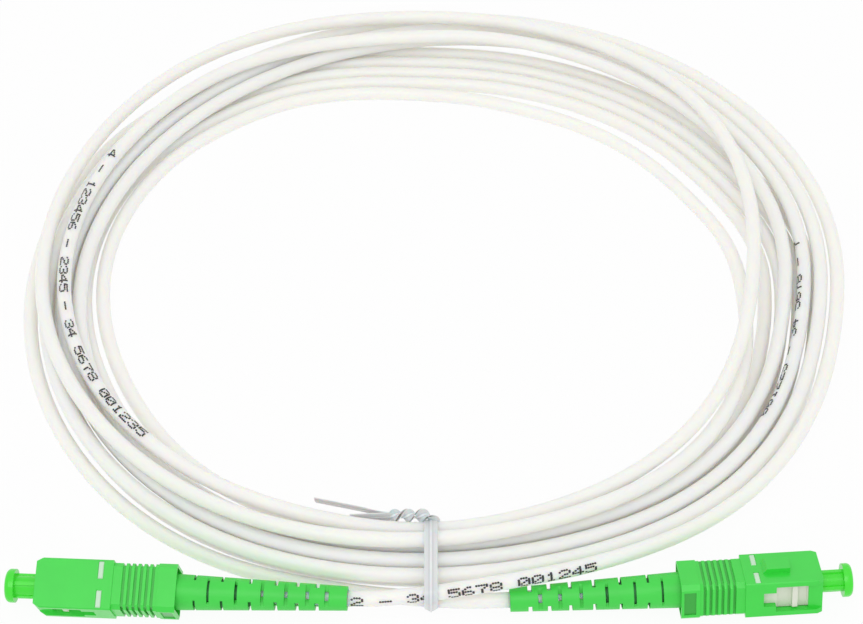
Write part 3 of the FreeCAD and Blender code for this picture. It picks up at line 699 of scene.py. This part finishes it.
def join_shells(shells):
    """Several (points, faces) pieces as one pair of arrays."""
    offset, points, faces = 0, [], []
    for p, f in shells:
        points.append(p)
        faces.append(np.asarray(f) + offset)
        offset += len(p)
    return np.vstack(points), np.vstack(faces)


def strip_shell(path, across, up, profile, closed, fold=0.0):
    """A ribbon as a closed shell: its section carried along, with its ends drawn to a point.

    Where it folds along its wire, the wire stands out by that much and the edges stay back.
    """
    rings = swept(path, across, up, profile)
    rows, columns = rings.shape[:2]
    ridge = 1 - np.abs(profile[:, 0]) / np.abs(profile[:, 0]).max()
    rings = rings + up[:, None, :] * (np.broadcast_to(fold, rows)[:, None] * ridge)[..., None]
    if closed:
        return rings.reshape(-1, 3), grid_faces(rows, columns, True, True)
    shrink = np.array((0.0, 0.8))[:, None, None]
    start = path[None, :1] + (rings[:1] - path[None, :1]) * shrink
    end = path[None, -1:] + (rings[-1:] - path[None, -1:]) * shrink[::-1]
    rings = np.concatenate((start, rings, end))
    return rings.reshape(-1, 3), grid_faces(rows + 4, columns, False, True)


def soften(node, width, segments=2, angle=32):
    """A solid's edges rounded by a narrow bevel, with shading that keeps its flats flat."""
    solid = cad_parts[node]
    solid.data.polygons.foreach_set("use_smooth", np.ones(len(solid.data.polygons), bool))
    weld = solid.modifiers.new("joined", "WELD")
    weld.merge_threshold = WELD
    flats = solid.modifiers.new("flats", "DECIMATE")
    flats.decimate_type = "DISSOLVE"
    flats.angle_limit = math.radians(FLAT)
    edges = solid.modifiers.new("edges", "BEVEL")
    edges.width = width * MM
    edges.segments = segments
    edges.limit_method = "ANGLE"
    edges.angle_limit = math.radians(angle)
    edges.use_clamp_overlap = True
    shade = solid.modifiers.new("shade", "WEIGHTED_NORMAL")
    shade.keep_sharp = False


def paint(node, finish):
    """A solid takes a finish over all of it."""
    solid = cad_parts[node]
    solid.data.materials.clear()
    solid.data.materials.append(finish.material)


# ---- Sizes and colours a user would change ----


def length_prop(name, description, default):
    """A length, in metres."""
    return bpy.props.FloatProperty(
        name=name, description=description, default=default, unit="LENGTH", precision=5
    )


def colour_prop(name, description, default):
    """A colour, as shares of red, green and blue."""
    return bpy.props.FloatVectorProperty(
        name=name, description=description, default=default, subtype="COLOR",
        size=3, min=0.0, max=1.0,
    )


def power_prop(name, description, default):
    """A lamp's power, in watts."""
    return bpy.props.FloatProperty(
        name=name, description=description, default=default, unit="POWER"
    )


class CordSizes(bpy.types.PropertyGroup):
    """The cord and what is printed on it"""

    diameter: length_prop("Diameter", "Outside diameter of the cord", CORD * MM)
    jacket: colour_prop("Jacket", "Colour of the cord's jacket", (0.925, 0.915, 0.888))
    ink: colour_prop("Ink", "Colour of the print on the cord", (0.02, 0.02, 0.022))
    pitch: length_prop("Letter pitch", "Distance from one printed number to the next", 2.45 * MM)
    width: length_prop("Letter width", "Width of a printed number", 1.8 * MM)
    height: length_prop("Letter height", "Height of a printed number", 1.5 * MM)
    dot: length_prop("Dot", "Radius of one dot of ink", 0.19 * MM)
    lift: length_prop("Ink thickness", "How far the ink stands on the jacket", 0.012 * MM)


class PlugColours(bpy.types.PropertyGroup):
    """The plugs' plastics"""

    grip: colour_prop("Grip", "Green of the grips", (0.038, 0.70, 0.055))
    boot: colour_prop("Boot", "Green of the boots", (0.05, 0.68, 0.068))
    cap: colour_prop("Cap", "Green of the dust caps", (0.045, 0.80, 0.022))
    inner: colour_prop("Inner body", "Ivory of the inner bodies", (0.77, 0.79, 0.69))
    mark: colour_prop("Marks", "White of the marks on the grips", (0.60, 0.84, 0.62))
    edge: length_prop("Edge radius", "Rounding of the grips' edges", GRIP_EDGE * MM)


class TieSizes(bpy.types.PropertyGroup):
    """The twist tie's ribbon"""

    thick: length_prop("Thickness", "Thickness of the ribbon beside its wire", 0.28 * MM)
    wire: length_prop("Wire", "Half the thickness over the wire", 0.26 * MM)
    colour: colour_prop("Colour", "Clear white of the ribbon", (0.74, 0.775, 0.79))


class StageLight(bpy.types.PropertyGroup):
    """The light on the stage"""

    sky: bpy.props.FloatProperty(
        name="Room light", description="Strength of the even light", default=0.79
    )
    lamp: power_prop("Softbox", "Power of the overhead softbox", 0.2)
    front: power_prop("Front light", "Power of the front softbox", 1.8)


# ---- Pieces ----


class PATCHCORD_OT_cord(bpy.types.Operator):
    """The whole cord as one tube, from boot to boot, through the coil"""

    bl_idname = "patchcord.cord"
    bl_label = "Cord"

    def execute(self, context):
        sizes = context.scene.patch_cord
        line = spline_line(cord_route())
        mesh = mesh_from("cord", *tube_along(line, sizes.diameter / 2, CORD_SIDES))
        mesh.materials.append(make_jacket(sizes.jacket).material)
        cord = new_object("cord", mesh, "cord")
        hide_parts("cord_coil", "left_lead", "right_lead")
        return {"FINISHED"}


class PATCHCORD_OT_print(bpy.types.Operator):
    """Plain numbers in dots of ink, where the cord carries print"""

    bl_idname = "patchcord.print"
    bl_label = "Print on the cord"

    def execute(self, context):
        sizes = context.scene.patch_cord
        line = spline_line(cord_route())
        shells = []
        for text, turn, past, lean in PRINTS:
            start = 0.0 if turn is None else self.along(line, turn)
            shells.append(print_on(line, start + past * MM, text, lean, sizes))
        ink = Finish("ink", Roughness=0.55)
        dark, pale = tinted(sizes.ink, 0.8), tinted(sizes.ink, 2.4)
        ink.feed("Base Color", ink.mix(ink.noise(0.3, 2.0), dark, pale))
        mesh = mesh_from("cord_print", *join_shells(shells))
        mesh.materials.append(ink.material)
        new_object("cord_print", mesh, "cord")
        return {"FINISHED"}

    def along(self, line, turn):
        """Length along the cord of its point nearest to the coil's at that turn.

        Only points whose share of the cord is within a few hundredths of that turn's are looked
        at, so that it isn't a strand beside it.
        """
        step = np.linalg.norm(np.diff(line, axis=0), axis=1)
        length = np.concatenate(((0,), np.cumsum(step)))
        aim = coil_points(np.array((turn,)))[0] * MM
        window = np.abs(np.arange(len(line)) / len(line) - turn / TURNS) < 0.03
        gap = np.where(window, np.linalg.norm(line - aim, axis=1), np.inf)
        return length[np.argmin(gap)]


class PATCHCORD_OT_tie(bpy.types.Operator):
    """The twist tie: a ribbon round the bundle, twisted on the inner side, with two loose ends"""

    bl_idname = "patchcord.tie"
    bl_label = "Twist tie"

    def execute(self, context):
        sizes = context.scene.patch_tie
        thick, wire = sizes.thick / MM, sizes.wire / MM
        profile = ribbon_profile(TIE_WIDTH, thick, wire)
        slim = ribbon_profile(TIE_WIDTH, thick * TWIST_THIN[0], wire * TWIST_THIN[1])
        loop = self.loop(CORD / 2 + thick / 2 + TIE_GAP)
        shells = [self.band(loop, profile)]
        corner = loop[np.argmax(loop @ np.array(CORNER_WAY))]
        knots = np.array((TIE_X, *corner)) + np.array(TWIST_KNOTS)
        shells += [self.tail(knots, slim, *tail) for tail in TIE_TAILS]
        points, faces = join_shells(shells)
        mesh = mesh_from("twist_tie_ribbon", points * MM, faces)
        columns = [np.tile(profile[:, 0], len(loop))]
        columns += [np.tile(slim[:, 0], TIE_STEPS + 4) for _ in TIE_TAILS]
        spread = np.concatenate(columns) / (TIE_WIDTH / 2)
        across = mesh.attributes.new("across", "FLOAT", "POINT")
        across.data.foreach_set("value", spread)
        mesh.materials.append(make_tie_plastic(sizes.colour).material)
        tie = new_object("twist_tie_ribbon", mesh, "cord")
        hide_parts("twist_tie")
        return {"FINISHED"}

    def loop(self, reach):
        """The band's middle line, as y and z: round the strands it holds, at that reach."""
        line = spline_line(cord_route()) / MM
        held = np.abs(line[:, 0] - TIE_X) < TIE_WIDTH / 2 + TIE_MARGIN
        bundle = line[held & (line[:, 1] < COIL_Y)][:, 1:]
        return even(bundle_outline(bundle, reach, 240), TIE_AROUND)

    def band(self, loop, profile):
        """The ribbon round the bundle, folded along its wire where it faces the front and down.

        Outward is the loop's heading turned by a right angle. The fold is the share by which
        outward leans the fold's way past where it starts, to the power of one and a half.
        """
        ahead = np.roll(loop, -1, axis=0) - np.roll(loop, 1, axis=0)
        ahead /= np.linalg.norm(ahead, axis=1, keepdims=True)
        outward = np.stack((np.zeros(len(loop)), ahead[:, 1], -ahead[:, 0]), axis=-1)
        path = np.column_stack((np.full(len(loop), TIE_X), loop))
        across = np.tile((1.0, 0.0, 0.0), (len(loop), 1))
        facing = np.clip((outward @ np.array(FOLD_WAY) - FOLD_FROM) / (1 - FOLD_FROM), 0, 1)
        return strip_shell(path, across, outward, profile, True, TIE_FOLD * facing**1.5)

    def tail(self, knots, profile, side_turn, reach, rest):
        """One ribbon of the twist with its loose end.

        Its line runs through the twist's knots and on by its reach. It turns about that line by
        the twists and its turn at rest, all within the knots, and stands off it by a constant and
        half a sine wave.
        """
        far = knots[-1]
        core = smooth_path((*knots, far + TAIL_BEND * np.array(reach), far + reach), TIE_STEPS)
        wound_length = np.linalg.norm(np.diff(knots, axis=0), axis=1).sum()
        s = np.linspace(0, 1, TIE_STEPS)
        wound = np.clip(s * (wound_length + np.linalg.norm(reach)) / wound_length, 0, 1)
        turn = wound * (TIE_TWISTS * 2 * math.pi + math.radians(rest)) + side_turn
        across, up = frames_along(core, turn)
        apart = TWIST_APART[0] + TWIST_APART[1] * np.sin(np.pi * wound)
        return strip_shell(core + up * apart[:, None], across, up, profile, False)


class PATCHCORD_OT_grips(bpy.types.Operator):
    """The two grips: softened edges, moulded green, and white marks in their pockets"""

    bl_idname = "patchcord.grips"
    bl_label = "Grips"

    def execute(self, context):
        colours = context.scene.patch_plugs
        white = moulded("mark_white", colours.mark, 0.5)
        for side in PLUGS:
            soften(side + "_grip", colours.edge / MM)
            paint(side + "_grip", make_grip(side, colours.grip))
            places = [(face, y) for face in (-1, 1) for y in (-MARK_SIDE, MARK_SIDE)]
            shells = [self.mark(side, face, y) for face, y in places]
            mesh = mesh_from(side + "_marks", *join_shells(shells))
            mesh.materials.append(white.material)
            new_object(side + "_marks", mesh, side + "_sleeve")
        return {"FINISHED"}

    def mark(self, side, face, y):
        """One white mark: a pillow that fills its pocket, flat with rounded borders.

        Its height over the pocket's floor is full inside and falls to nothing at the border, as
        the eighth root of 1 - u^8 times the same of v.
        """
        u, v = np.meshgrid(np.linspace(-1, 1, 9), np.linspace(-1, 1, 17), indexing="ij")
        rise = (np.clip(1 - u**8, 0, 1) * np.clip(1 - v**8, 0, 1)) ** 0.125
        x = GRIP_LENGTH - MARK_BACK - MARK_LENGTH / 2 + u * MARK_LENGTH / 2 * MARK_FIT
        z = face * (GRIP_HEIGHT / 2 - MARK_POCKET + MARK_RISE * rise)
        points = np.stack((x, y + v * MARK_WIDTH / 2 * MARK_FIT, z), axis=-1).reshape(-1, 3)
        faces = grid_faces(9, 17)
        if face < 0:
            faces = faces[:, ::-1]
        return in_frame(side, points), faces


class PATCHCORD_OT_boots(bpy.types.Operator):
    """The two slotted boots in soft green"""

    bl_idname = "patchcord.boots"
    bl_label = "Boots"

    def execute(self, context):
        colours = context.scene.patch_plugs
        soft = moulded("boot_green", colours.boot, 0.42, size=0.25, relief=0.006)
        for side in PLUGS:
            soften(side + "_boot", **BOOT_EDGE)
            paint(side + "_boot", soft)
        return {"FINISHED"}


class PATCHCORD_OT_caps(bpy.types.Operator):
    """The two dust caps in glossy green"""

    bl_idname = "patchcord.caps"
    bl_label = "Dust caps"

    def execute(self, context):
        colours = context.scene.patch_plugs
        glossy = moulded("cap_green", colours.cap, 0.26, size=0.5, relief=0.003, coat=0.3)
        for side in PLUGS:
            soften(side + "_dust_cap", **CAP_EDGE)
            paint(side + "_dust_cap", glossy)
        return {"FINISHED"}


class PATCHCORD_OT_inner_bodies(bpy.types.Operator):
    """The ivory inner bodies that show in the grips' windows"""

    bl_idname = "patchcord.inner_bodies"
    bl_label = "Inner bodies"

    def execute(self, context):
        colours = context.scene.patch_plugs
        ivory = moulded("inner_ivory", colours.inner, 0.4)
        for side in PLUGS:
            soften(side + "_plug_frame", **INNER_EDGE)
            paint(side + "_plug_frame", ivory)
        return {"FINISHED"}


class PATCHCORD_OT_inside(bpy.types.Operator):
    """What is inside a plug: ceramic, metal, yarn, buffer and tube"""

    bl_idname = "patchcord.inside"
    bl_label = "Inside of the plugs"

    def execute(self, context):
        sizes = context.scene.patch_cord
        finishes = {
            "ferrule": make_ceramic((0.88, 0.88, 0.85)),
            "ferrule_flange": make_metal("nickel_plate", (0.66, 0.64, 0.58), 0.22),
            "spring": make_metal("spring_wire", (0.56, 0.56, 0.57), 0.25),
            "stop_body": make_metal("turned_brass", (0.62, 0.52, 0.32), 0.25),
            # The crimp sleeve's dark green is painted shade and a painted reflection of the green
            # walls, so the boots' slots look dark green.
            "crimp_sleeve": make_metal("crimp_metal", (0.05, 0.2, 0.07), 0.45, lines=0.1),
            "guide_tube": moulded("clear_tubing", (0.82, 0.82, 0.78), 0.3),
            "buffered_fibre": moulded("fibre_buffer", (0.84, 0.80, 0.58), 0.4),
            "yarn": make_yarn((0.70, 0.55, 0.16)),
            "cord_end": make_jacket(sizes.jacket),
        }
        for side in PLUGS:
            for name, finish in finishes.items():
                paint(side + "_" + name, finish)
        return {"FINISHED"}


class PATCHCORD_OT_stage(bpy.types.Operator):
    """A white floor, soft light and the camera of the photograph"""

    bl_idname = "patchcord.stage"
    bl_label = "Stage"

    def execute(self, context):
        light = context.scene.patch_stage
        self.floor()
        self.world(context, light)
        self.softbox("softbox", *SOFTBOX, light.lamp)
        self.softbox("front_box", *FRONT_BOX, light.front)
        self.camera(context)
        context.scene.view_settings.view_transform = "Standard"
        return {"FINISHED"}

    def floor(self):
        """A large flat sheet, partly white of its own: to the camera, to gloss and to soft light.

        To the camera it is nearly as bright as the background and keeps the part's shadow.
        """
        places = np.linspace(-FLOOR_REACH, FLOOR_REACH, 5)
        u, v = np.meshgrid(places, places, indexing="ij")
        points = np.stack((u, v, np.full_like(u, -FLOOR_DROP)), axis=-1).reshape(-1, 3)
        mesh = mesh_from("floor", points, grid_faces(5, 5))
        floor = bpy.data.objects.new("floor", mesh)
        bpy.context.scene.collection.objects.link(floor)
        f = Finish("white_floor", Base_Color=(0.9, 0.9, 0.9), Roughness=0.9)
        f.feed("Specular IOR Level", 0.1)
        glow = f.node("ShaderNodeEmission", None, {"Color": (1, 1, 1), "Strength": 1.0})
        seen = f.node("ShaderNodeLightPath", out="Is Camera Ray")
        gloss = f.node("ShaderNodeLightPath", out="Is Glossy Ray")
        soft = f.node("ShaderNodeLightPath", out="Is Diffuse Ray")
        share = seen * FLOOR_WHITE[0] + gloss * FLOOR_WHITE[1] + soft * FLOOR_WHITE[2]
        lit = Value(f, f.shader.outputs[0])
        both = f.node("ShaderNodeMixShader", None, {0: share, 1: lit, 2: glow})
        f.tree.links.new(both.socket, f.output.inputs["Surface"])
        mesh.materials.append(f.material)

    def world(self, context, light):
        """Even light from all round, and plain white where the camera or a gloss sees the room."""
        world = bpy.data.worlds.new("room")
        world.use_nodes = True
        nodes, links = world.node_tree.nodes, world.node_tree.links
        nodes.clear()
        lit, seen = nodes.new("ShaderNodeBackground"), nodes.new("ShaderNodeBackground")
        lit.inputs["Strength"].default_value = light.sky
        lit.inputs["Color"].default_value = (1.0, 0.995, 0.985, 1)
        seen.inputs["Color"].default_value = (1, 1, 1, 1)
        ray, mix = nodes.new("ShaderNodeLightPath"), nodes.new("ShaderNodeMixShader")
        out, either = nodes.new("ShaderNodeOutputWorld"), nodes.new("ShaderNodeMath")
        either.operation = "MAXIMUM"
        links.new(ray.outputs["Is Camera Ray"], either.inputs[0])
        links.new(ray.outputs["Is Glossy Ray"], either.inputs[1])
        links.new(either.outputs[0], mix.inputs[0])
        links.new(lit.outputs[0], mix.inputs[1])
        links.new(seen.outputs[0], mix.inputs[2])
        links.new(mix.outputs[0], out.inputs["Surface"])
        context.scene.world = world

    def softbox(self, name, at, aim, size, power):
        """A square lamp that faces a point."""
        data = bpy.data.lights.new(name, "AREA")
        data.size = size
        data.energy = power
        lamp = bpy.data.objects.new(name, data)
        lamp.location = at
        way = np.array(aim) - np.array(at)
        flat = math.hypot(way[0], way[1])
        lamp.rotation_euler = (math.atan2(flat, -way[2]), 0, math.atan2(-way[0], way[1]))
        bpy.context.scene.collection.objects.link(lamp)

    def camera(self, context):
        """The camera of the photograph, which looks along the middle of the ring and down."""
        data = bpy.data.cameras.new("camera")
        data.sensor_fit = "HORIZONTAL"
        data.sensor_width = SENSOR
        data.lens = FOCAL_PIXELS * SENSOR / PHOTO_WIDTH
        data.clip_start = 0.01
        camera = bpy.data.objects.new("camera", data)
        camera.location = (np.array(CAMERA_AT) + TO_FRAME) * MM
        camera.rotation_euler = (math.radians(90 - CAMERA_DOWN), 0, 0)
        bpy.context.scene.collection.objects.link(camera)
        context.scene.camera = camera


class PATCHCORD_PT_panel(bpy.types.Panel):
    """Sizes, colours and pieces of the patch cord"""

    bl_idname = "PATCHCORD_PT_panel"
    bl_label = "Patch Cord"
    bl_space_type = "VIEW_3D"
    bl_region_type = "UI"
    bl_category = "Patch Cord"

    def draw(self, context):
        for holder, group in GROUPS.items():
            for prop in group.bl_rna.properties:
                if prop.identifier not in ("rna_type", "name"):
                    self.layout.prop(getattr(context.scene, holder), prop.identifier)
        for piece in PIECES:
            self.layout.operator(piece.bl_idname)


GROUPS = {
    "patch_cord": CordSizes,
    "patch_plugs": PlugColours,
    "patch_tie": TieSizes,
    "patch_stage": StageLight,
}
PIECES = (
    PATCHCORD_OT_cord,
    PATCHCORD_OT_print,
    PATCHCORD_OT_tie,
    PATCHCORD_OT_grips,
    PATCHCORD_OT_boots,
    PATCHCORD_OT_caps,
    PATCHCORD_OT_inner_bodies,
    PATCHCORD_OT_inside,
    PATCHCORD_OT_stage,
)


def register():
    """Register the groups of settings, then the pieces' operators and the panel."""
    for group in GROUPS.values():
        bpy.utils.register_class(group)
    for holder, group in GROUPS.items():
        setattr(bpy.types.Scene, holder, bpy.props.PointerProperty(type=group))
    for piece in PIECES:
        bpy.utils.register_class(piece)
    bpy.utils.register_class(PATCHCORD_PT_panel)


def unregister():
    """Undo what register does, in the opposite order."""
    bpy.utils.unregister_class(PATCHCORD_PT_panel)
    for piece in reversed(PIECES):
        bpy.utils.unregister_class(piece)
    for holder in GROUPS:
        delattr(bpy.types.Scene, holder)
    for group in reversed(list(GROUPS.values())):
        bpy.utils.unregister_class(group)


def main():
    """Make every piece and the stage."""
    register()
    for piece in PIECES:
        family, name = piece.bl_idname.split(".")
        getattr(getattr(bpy.ops, family), name)()


if __name__ == "__main__":
    main()
